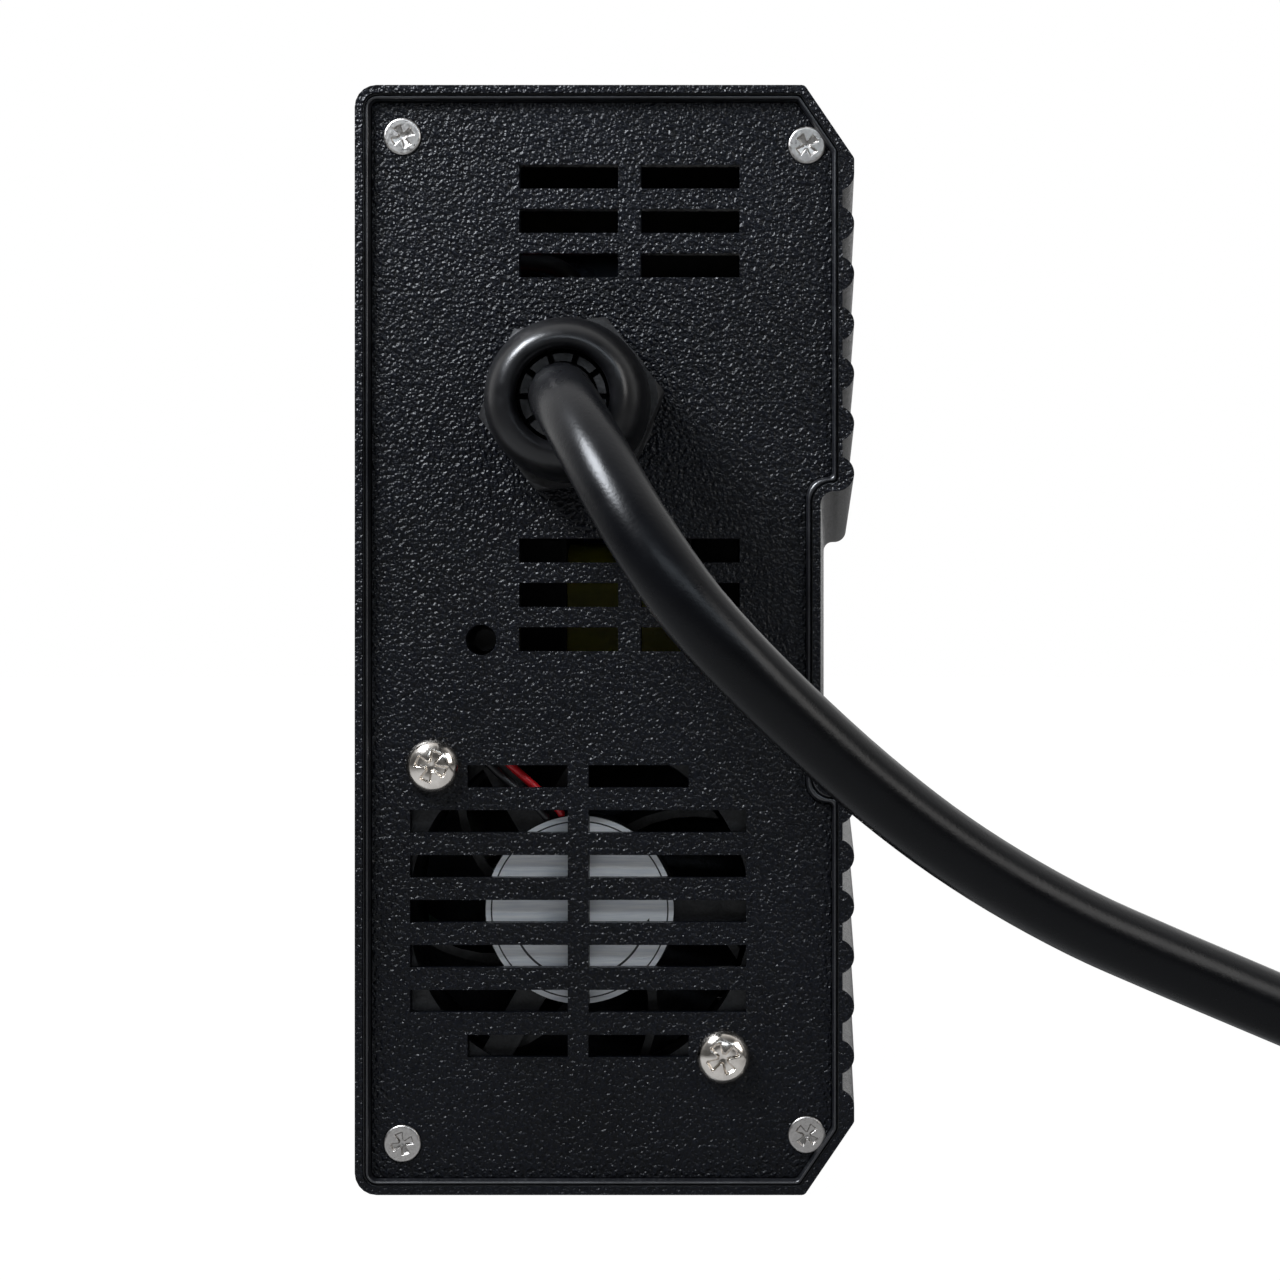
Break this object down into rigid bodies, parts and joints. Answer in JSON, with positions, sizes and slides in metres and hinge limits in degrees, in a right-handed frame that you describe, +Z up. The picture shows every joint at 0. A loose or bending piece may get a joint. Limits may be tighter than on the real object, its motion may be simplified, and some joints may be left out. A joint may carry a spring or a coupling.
{
  "type": "lithium battery charger",
  "caption": "Ribbed black case on its narrow side, with recessed vented end panels, cooling fan, cable gland with output lead, battery connector and mains inlet.",
  "frame": {"origin": "middle of the narrow side that the case stands on, at the level of the surface it rests on", "axes": "+X from the flat base side to the ribbed side, +Y from the cable end to the mains end, +Z up"},
  "size_m": [0.2548, 0.2893, 0.152],
  "materials": {
    "case_coat": "black textured powder coat",
    "trim_plastic": "smooth black semi-gloss",
    "panel_plastic": "black leathery moulded texture",
    "satin_nickel": "satin nickel plate",
    "bright_nickel": "bright nickel plate",
    "fan_plastic": "moulded black",
    "magnet": "bonded magnet",
    "steel": "ground",
    "bronze": "plain",
    "copper": "enamelled copper wire",
    "label_silver": "silver film label",
    "red_sleeve": "wire insulation",
    "black_sleeve": "wire insulation",
    "gland_matt": "moulded nylon",
    "gland_gloss": "polished nylon",
    "soft_rubber": "soft",
    "lead_jacket": "satin rubber jacket",
    "strap": "woven strap",
    "connector_plastic": "moulded",
    "board_green": "solder mask",
    "sheet_clear": "insulating film",
    "ferrite": "sintered ferrite",
    "yellow_tape": "polyester tape",
    "bobbin_plastic": "moulded",
    "mains_sleeve": "shrink sleeve",
    "dark_sleeve": "shrink sleeve",
    "yellow_box": "moulded box",
    "fuse_glass": "clear tube",
    "sink_aluminium": "extruded",
    "moulded_black": "epoxy",
    "lamp_lens": "unlit lens",
    "inlet_plastic": "moulded",
    "brown_sleeve": "wire insulation",
    "blue_sleeve": "wire insulation",
    "earth_sleeve": "wire insulation"
  },
  "bodies": {
    "case": {"case_shell": "case_coat", "front_trim": "trim_plastic", "rear_trim": "trim_plastic", "front_panel": "panel_plastic", "rear_panel": "panel_plastic", "front_panel_screws": "satin_nickel", "rear_panel_screws": "satin_nickel", "fan_screws": "bright_nickel", "fan_frame": "fan_plastic", "fan_bearing": "bronze", "fan_stator": "steel", "fan_coils": "copper", "fan_label": "label_silver", "fan_wire_red": "red_sleeve", "fan_wire_black": "black_sleeve", "gland_washer": "soft_rubber", "gland_body": "gland_matt", "gland_seal": "soft_rubber", "gland_dome_nut": "gland_gloss", "gland_lock_nut": "gland_matt", "output_lead": "lead_jacket", "lead_coil": "lead_jacket", "lead_tail": "lead_jacket", "coil_tie": "strap", "connector_housing": "connector_plastic", "connector_contacts": "bronze", "connector_boot": "lead_jacket", "output_wire_red": "red_sleeve", "output_wire_black": "black_sleeve", "circuit_board": "board_green", "insulating_sheet": "sheet_clear", "board_standoffs": "bronze", "board_screws": "satin_nickel", "transformer_core": "ferrite", "transformer_winding": "yellow_tape", "transformer_bobbin": "bobbin_plastic", "mains_capacitors": "mains_sleeve", "output_capacitors": "dark_sleeve", "choke_core": "ferrite", "choke_winding": "copper", "filter_choke": "ferrite", "filter_capacitor": "yellow_box", "fuse": "fuse_glass", "primary_heatsink": "sink_aluminium", "secondary_heatsink": "sink_aluminium", "power_transistors": "moulded_black", "rectifiers": "moulded_black", "indicator_lamp": "lamp_lens", "mains_inlet": "inlet_plastic", "inlet_pins": "steel", "inlet_screws": "satin_nickel", "inlet_nuts": "satin_nickel", "live_wire": "brown_sleeve", "neutral_wire": "blue_sleeve", "earth_wire": "earth_sleeve"},
    "fan_rotor": {"fan_impeller": "fan_plastic", "fan_magnet_ring": "magnet", "fan_shaft": "steel"}
  },
  "joints": [
    {"name": "fan_spin", "type": "hinge", "parent": "case", "child": "fan_rotor", "pos_m": [-0.00375, -0.103, 0.0387], "axis": [0, 1, 0], "continuous": true}
  ]
}
